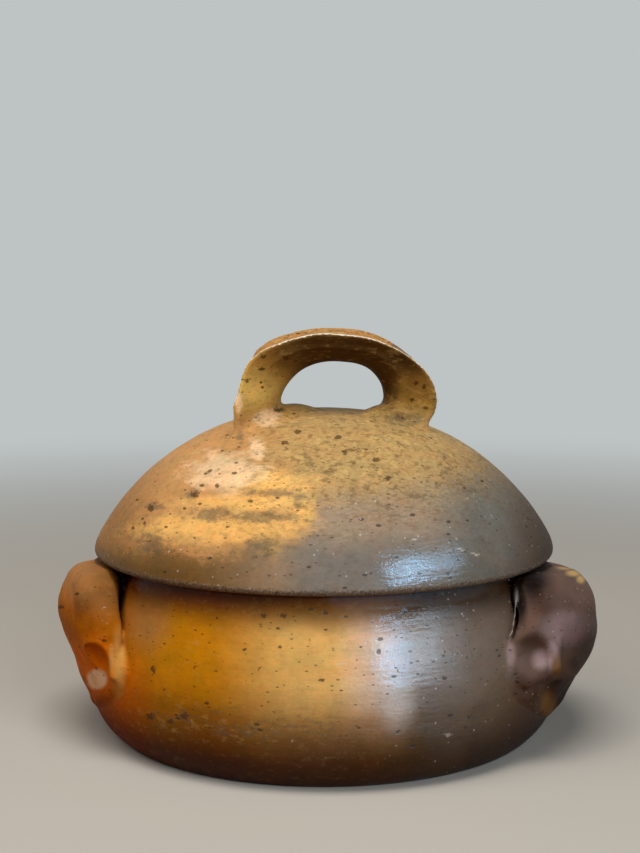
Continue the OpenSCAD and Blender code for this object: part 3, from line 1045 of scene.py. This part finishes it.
def paint_right_lug(points, bend):
    """Paint layers of the right lug, whose outer side is darker."""
    layers = paint_lug(points, bend, RIGHT_MARKS, RIGHT_GLOSS, RIGHT_CLOSED)
    body = darkened(layers["warm"], LUG_SHADE, rubbed(places_of(points), OUTER_SPOTS, 0.4))
    layers.update(warm=body, grey=body)
    return layers


def paint_handle(points, bend, normals):
    """Paint layers of the handle: pale with wear and a painted highlight on its outer edges, with painted
    light and painted shade inside.
    """
    layers = paint_lid(points)
    outward = (points - np.array([HOLE_MIDDLE, 0, crown_z])) * np.array([1, 0, 1])
    outward /= np.linalg.norm(outward, axis=1)[:, None]
    at = places_of(points)
    at.update(bend=bend, facing=(outward * normals).sum(1))
    # painted light and painted shade inside the handle
    warm = coated(layers["warm"], HANDLE_WARM, at)
    # painted shade inside the top of the handle's arch, where the clay is darker too
    warm = blend(warm, SHADE_BROWN, faded(at, HANDLE_DARK, 0.8) * (1 - faded(at, HANDLE_OPEN)))
    # pale with wear and a painted highlight on the outer edges
    worn_sheen = bend * faded(at, WORN_SHEEN_EDGE) * (0.9 + faded(at, WORN_SHEEN_TOP, 1.3))
    layers["warm"] = coated(warm, HANDLE_CORNER, at)
    layers["ridge"] = np.where(bend > 0, worn_sheen, bend)
    layers["fleck"] = layers["fleck"] * (1 - faded(at, INSIDE, 0.5))
    return layers


def plain(layers, inner, colour, matt):
    """Paint layers with one plain colour on surfaces that the photograph doesn't show."""
    inner = inner.astype(float)
    for name in ("warm", "grey"):
        layers[name] = blend(layers[name], colour, inner)
    for name in ("flash", "cream", "smudge", "smoke", "iron", "salt"):
        layers[name] = layers[name] * (1 - inner)
    layers["edge"] = np.maximum(layers["edge"] * (1 - inner), matt * inner)
    layers["fleck"] = layers["fleck"] * (1 - 0.6 * inner)
    return layers


# Material

def placed(name, data):
    """A new object in the scene."""
    thing = bpy.data.objects.new(name, data)
    bpy.context.scene.collection.objects.link(thing)
    return thing


class Nodes:
    """Nodes of a material or world, with inputs fed by values or by other nodes."""

    def __init__(self, owner):
        owner.use_nodes = True
        self.tree = owner.node_tree
        self.tree.nodes.clear()

    def add(self, kind, feeds=(), **settings):
        node = self.tree.nodes.new("ShaderNode" + kind)
        for key, value in settings.items():
            setattr(node, key, value)
        for key, value in dict(feeds).items():
            if isinstance(value, bpy.types.NodeSocket):
                self.tree.links.new(value, node.inputs[key])
            else:
                node.inputs[key].default_value = value
        return node

    def math(self, operation, *terms):
        result = terms[0]
        for term in terms[1:]:
            result = self.add("Math", {0: result, 1: term}, operation=operation).outputs[0]
        return result

    def product(self, *factors):
        return self.math("MULTIPLY", *factors)

    def total(self, *terms):
        return self.math("ADD", *terms)

    def centred(self, value):
        return self.math("SUBTRACT", value, 0.5)

    def ease(self, value, low, high, start=0.0, end=1.0):
        feeds = {"Value": value, "From Min": low, "From Max": high, "To Min": start, "To Max": end}
        return self.add("MapRange", feeds, interpolation_type="SMOOTHSTEP").outputs[0]

    def mix(self, share, a, b, how="MIX"):
        return self.add("Mix", {0: share, 6: a, 7: b}, data_type="RGBA", blend_type=how).outputs[2]

    def coat(self, base, tint, *shares):
        return self.mix(self.product(*shares), base, colour(tint))

    def layer(self, name, output="Fac"):
        return self.add("Attribute", attribute_name=name).outputs[output]

    def place(self):
        return self.add("TexCoord").outputs["Object"]

    def squeezed(self, place, scale):
        return self.add("Mapping", {"Vector": place, "Scale": scale}).outputs[0]

    def noise(self, place, period, detail=2.0, rough=0.5):
        feeds = {"Vector": place, "Scale": 1 / (period * MM), "Detail": detail, "Roughness": rough}
        return self.add("TexNoise", feeds).outputs[0]

    def ragged(self, control, noise, amount, soft):
        """Share of a paint layer, with its edge broken up by noise."""
        moved = self.total(control, self.product(self.centred(noise), amount))
        return self.ease(moved, 0.5 - soft, 0.5 + soft)

    def specks(self, place, period, share, smallest, largest):
        """Round specks of different sizes in a share of the cells of a pattern."""
        cells = self.add("TexVoronoi", {"Vector": place, "Scale": 1 / (period * MM)}).outputs
        parts = self.add("SeparateColor", {0: cells["Color"]}).outputs
        size = self.ease(parts[1], 0.0, 1.0, smallest, largest)
        rough = self.product(self.centred(self.noise(place, period * 0.12, 1.0)), 0.12)
        away = self.total(cells["Distance"], rough)
        inside = self.ease(self.math("SUBTRACT", size, away), -0.015, 0.035)
        return self.product(inside, self.math("LESS_THAN", parts[0], share))


def colour(value):
    return (*[float(v) for v in value], 1.0)


# Tones that the clay takes in some patches
COOL_TONE = (0.96, 1.0, 1.01, 1.0)
WARM_TONE = (1.05, 0.99, 0.97, 1.0)

# Depth of the skin's bumps in metres
SKIN_BUMP = 0.00012


def make_stoneware():
    """Salt-fired clay: paint with ragged edges, flecks, iron specks, a sandy edge and an orange-peel skin."""
    material = bpy.data.materials.new("stoneware")
    nodes = Nodes(material)
    layer, noise, fade, product, coat = nodes.layer, nodes.noise, nodes.ease, nodes.product, nodes.coat
    ragged, specks = nodes.ragged, nodes.specks
    place = nodes.place()
    thrown = nodes.squeezed(place, (1.0, 1.0, 2.0))
    streaked = nodes.squeezed(place, (1.0, 1.0, 3.4))
    turned_lines = nodes.squeezed(place, (0.15, 0.15, 1.0))
    wide = noise(place, 34, 4.0, 0.55)
    mid = noise(place, 9, 5.0, 0.62)
    fine = noise(place, 2.6, 3.0, 0.6)
    grain = noise(place, 0.9, 2.0, 0.6)
    streaks = noise(streaked, 14, 6.0, 0.66)

    # Paint
    smoke = layer("smoke")
    broken = ragged(smoke, noise(thrown, 5, 6.0, 0.72), 1.5, 0.2)
    smoke = product(0.5, nodes.total(broken, ragged(smoke, wide, 0.5, 0.45)))
    base = nodes.mix(smoke, layer("warm", "Color"), layer("grey", "Color"))
    base = coat(base, FLASH, ragged(layer("flash"), streaks, 1.2, 0.3), 0.8)
    base = coat(base, CREAM, ragged(layer("cream"), streaks, 1.1, 0.2), 0.8)
    base = coat(base, SOIL, ragged(layer("smudge"), noise(thrown, 4, 5.0, 0.75), 2.6, 0.2), 0.6)

    # Tones
    pink = fade(noise(thrown, 12, 4.0, 0.65), 0.36, 0.64)
    base = nodes.mix(1.0, base, nodes.mix(pink, COOL_TONE, WARM_TONE), "MULTIPLY")
    density = layer("fleck")
    speckle = product(nodes.centred(noise(thrown, 2.0, 4.0, 0.65)), fade(density, 0.0, 1.0, 0.1, 1.2))
    speckle = nodes.total(speckle, 1.0)
    tone = product(fade(wide, 0.3, 0.7, 0.94, 1.06), fade(mid, 0.25, 0.75, 0.9, 1.1), speckle)
    shade = nodes.add("CombineColor", {0: tone, 1: tone, 2: tone}).outputs[0]
    base = nodes.mix(1.0, base, shade, "MULTIPLY")

    # Flecks
    unsmoked = nodes.math("SUBTRACT", 1.0, smoke)
    base = coat(base, STRAW, fade(noise(thrown, 5, 4.0, 0.65), 0.54, 0.66), density, unsmoked, 0.5)
    base = coat(base, UMBER, fade(noise(thrown, 3.8, 4.0, 0.6), 0.54, 0.62), density, 0.5)
    base = coat(base, BARK, fade(noise(thrown, 7.5, 5.0, 0.7), 0.56, 0.63), density, 0.5)

    # Iron specks, and white specks that are in part painted glints
    spots = ragged(layer("iron"), noise(place, 1.6, 2.0), 1.2, 0.15)
    few = specks(thrown, 7, 0.35, 0.08, 0.2)
    many = specks(thrown, 3.2, 0.4, 0.1, 0.25)
    dark = nodes.math("MAXIMUM", spots, few, product(many, 0.75))
    base = nodes.mix(product(dark, 0.8), base, nodes.mix(smoke, colour(SEPIA), colour(IRON)))
    # white specks, in part painted glints
    crystal_glints = product(specks(place, 2.6, 0.25, 0.08, 0.2), fade(smoke, 0.2, 0.8, 0.15, 0.8))
    marks = ragged(layer("salt"), noise(place, 1.2, 2.0), 1.2, 0.2)
    base = coat(base, SALT_GLINT, nodes.math("MAXIMUM", crystal_glints, marks), 0.5)

    # Pale ridges with wear and a painted highlight, painted shade in creases, and a sandy edge
    ridge = layer("ridge")
    base = coat(base, WORN_SHEEN, fade(ridge, 0.13, 0.3), fade(mid, 0.3, 0.6, 0.6, 1.0), 0.9)
    # painted shade in creases
    base = coat(base, CREASE_SHADE, fade(ridge, -0.08, -0.4), 0.4)
    edge = layer("edge")
    sand = nodes.mix(fade(grain, 0.35, 0.65), colour(SAND_DARK), colour(SAND_PALE))
    base = nodes.mix(product(edge, 0.6), base, sand)

    # Skin
    rough = nodes.total(
        fade(layer("gloss"), 0.0, 1.0, 0.68, 0.16), product(nodes.centred(mid), 0.2),
        product(nodes.centred(fine), 0.3), product(edge, 0.3), product(dark, 0.2))
    height = nodes.total(
        product(noise(place, 1.4, 3.0, 0.65), 0.7), noise(place, 13, 2.0, 0.5),
        product(noise(turned_lines, 1.5, 2.0, 0.5), 0.7), product(grain, edge, 3.0), product(dark, -0.6))
    bump = nodes.add("Bump", {"Strength": 1.0, "Distance": SKIN_BUMP, "Height": height})
    shader = nodes.add("BsdfPrincipled", {
        "Base Color": base, "Roughness": rough, "Normal": bump.outputs[0], "IOR": 1.5,
        "Specular IOR Level": 0.1})
    nodes.add("OutputMaterial", {"Surface": shader.outputs[0]})
    return material


# Pieces in place

stoneware = make_stoneware()


def add_piece(name, make, body, node):
    """A smooth painted piece that rides on a body in place of a CAD node."""
    points, faces, layers = make()
    mesh = bpy.data.meshes.new(name)
    mesh.from_pydata((points * MM).tolist(), [], faces)
    mesh.update()
    mesh.polygons.foreach_set("use_smooth", [True] * len(mesh.polygons))
    for layer, values in layers.items():
        if values.ndim == 2:
            full = np.column_stack([values, np.ones(len(values))]).astype(np.float32)
            mesh.attributes.new(layer, "FLOAT_COLOR", "POINT").data.foreach_set("color", full.ravel())
        else:
            plain_values = values.astype(np.float32)
            mesh.attributes.new(layer, "FLOAT", "POINT").data.foreach_set("value", plain_values)
    mesh.materials.append(stoneware)
    piece = placed(name, mesh)
    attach(piece, body)
    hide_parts(node)
    return piece


bowl = add_piece("bowl_body", make_bowl, "bowl", "bowl")
add_piece("left_lug_body", make_left_lug, "bowl", "left_lug")
right_lug = add_piece("right_lug_body", make_right_lug, "bowl", "right_lug")
dome = add_piece("lid_body", make_dome, "lid", "lid_dome")
add_piece("lid_flange_ring", make_flange, "lid", "lid_flange")
add_piece("lid_handle_strap", make_handle, "lid", "lid_handle")


# Stage, light and camera

FLOOR_COLOUR = srgb(186, 180, 172)
FLOOR_BOUNCE = srgb(120, 86, 50)
PALE = srgb(190, 196, 196)

# Metres: half the floor, distances over which it fades into the background, and the point that lamps aim at
FLOOR_HALF = 6.0
FLOOR_FADE = (0.3, 1.2)
AIM_HEIGHT = 0.09

# Share of the background's light that falls on the pot
WORLD_SHARE = 0.12


def make_floor():
    mesh = bpy.data.meshes.new("floor")
    corners = [(x * FLOOR_HALF, y * FLOOR_HALF, 0) for x, y in ((-1, -1), (1, -1), (1, 1), (-1, 1))]
    mesh.from_pydata(corners, [], [(0, 1, 2, 3)])
    floor = placed("floor", mesh)
    material = bpy.data.materials.new("floor")
    nodes = Nodes(material)
    away = nodes.add("VectorMath", {0: nodes.place()}, operation="LENGTH").outputs["Value"]
    shown = shown_rays(nodes)
    far = nodes.product(nodes.ease(away, *FLOOR_FADE), shown)
    tone = nodes.mix(shown, colour(FLOOR_BOUNCE), colour(FLOOR_COLOUR))
    ground = nodes.add("BsdfDiffuse", {"Color": tone})
    glow = nodes.add("Emission", {"Color": colour(PALE)})
    both = nodes.add("MixShader", {0: far, 1: ground.outputs[0], 2: glow.outputs[0]})
    nodes.add("OutputMaterial", {"Surface": both.outputs[0]})
    mesh.materials.append(material)


def shown_rays(nodes):
    """1 for rays from the camera, straight, by a reflection or through glass."""
    path = nodes.add("LightPath")
    kinds = ("Is Camera Ray", "Is Transmission Ray", "Is Glossy Ray")
    return nodes.math("MAXIMUM", *[path.outputs[kind] for kind in kinds])


def make_world():
    world = bpy.data.worlds.new("studio")
    bpy.context.scene.world = world
    nodes = Nodes(world)
    strength = nodes.ease(shown_rays(nodes), 0.0, 1.0, WORLD_SHARE, 1.0)
    glow = nodes.add("Background", {"Color": colour(PALE), "Strength": strength})
    nodes.add("OutputWorld", {"Surface": glow.outputs[0]})


def add_light(name, azimuth, height, away, size, power, tint, mirrors=()):
    """A soft panel that lights the pot or, if it has mirrors, a bright window that only those pieces reflect.

    azimuth is in degrees to the right of the front, power in watts, and the rest in metres.
    """
    data = bpy.data.lights.new(name, "AREA")
    data.shape = "RECTANGLE"
    data.size, data.size_y = size
    data.energy = power
    data.color = tint
    light = placed(name, data)
    a = math.radians(azimuth)
    light.location = (away * math.sin(a), -away * math.cos(a), height)
    aim = light.location.copy()
    aim.z -= AIM_HEIGHT
    light.rotation_euler = aim.to_track_quat("Z", "Y").to_euler()
    light.visible_camera = False
    light.visible_glossy = bool(mirrors)
    light.visible_diffuse = not mirrors
    if mirrors:
        light.light_linking.receiver_collection = bpy.data.collections.new(name + "_mirrors")
        for piece in mirrors:
            light.light_linking.receiver_collection.objects.link(piece)


def make_camera():
    data = bpy.data.cameras.new("camera")
    data.sensor_width = SENSOR
    data.lens = FOCAL_PX * SENSOR / max(PHOTO_SIZE)
    camera = placed("camera", data)
    camera.location = EYE * MM
    camera.rotation_euler = (math.radians(90 - CAMERA_TILT), 0, turn)
    bpy.context.scene.camera = camera


make_floor()
make_world()
add_light("window", 35.4, 0.22, 1.3, (0.34, 0.42), 35, (0.3, 0.64, 1.0), (bowl,))
add_light("window_side", 54, 0.22, 1.3, (0.5, 0.42), 24, (0.62, 0.82, 1.0), (bowl, right_lug))
add_light("window_top", 50, 0.95, 1.1, (0.42, 0.24), 29, (0.34, 0.66, 1.0), (dome,))
add_light("window_end", 70, 0.86, 1.1, (0.42, 0.22), 10, (0.34, 0.66, 1.0), (dome,))
add_light("front", 32, 0.75, 1.3, (0.7, 0.7), 9, (0.92, 0.97, 1.0))
add_light("ceiling", -6, 1.7, 0.45, (1.0, 0.8), 18, (1.0, 0.97, 0.92))
add_light("fill", -52, 0.9, 0.9, (0.8, 0.8), 5, (1.0, 0.95, 0.88))
make_camera()
bpy.context.scene.view_settings.view_transform = "Standard"
